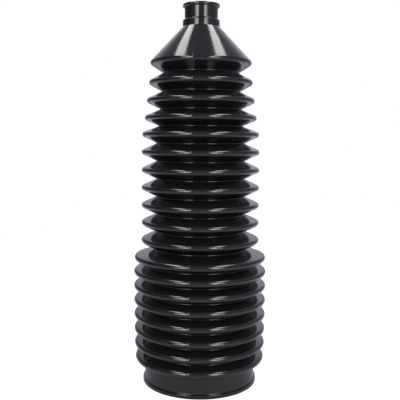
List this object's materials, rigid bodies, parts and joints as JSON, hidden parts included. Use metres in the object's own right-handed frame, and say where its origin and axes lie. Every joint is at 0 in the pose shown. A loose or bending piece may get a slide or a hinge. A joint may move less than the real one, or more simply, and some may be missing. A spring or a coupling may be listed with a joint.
{
  "type": "bellows boot",
  "caption": "One-piece black rubber bellows boot: tapered small-end cone, zig-zag folds, a stepped-out lower fold section and a plain collar at the large end.",
  "frame": {"origin": "centre of the bottom ring of the large end, on the surface it stands on", "axes": "+Z along the boot's axis, from the large end up to the small end; the boot is round, so X and Y are free"},
  "size_m": [0.0772, 0.0772, 0.2184],
  "materials": {
    "rubber": "glossy moulded black"
  },
  "bodies": {
    "root": {"bellows_boot": "rubber"}
  },
  "joints": []
}
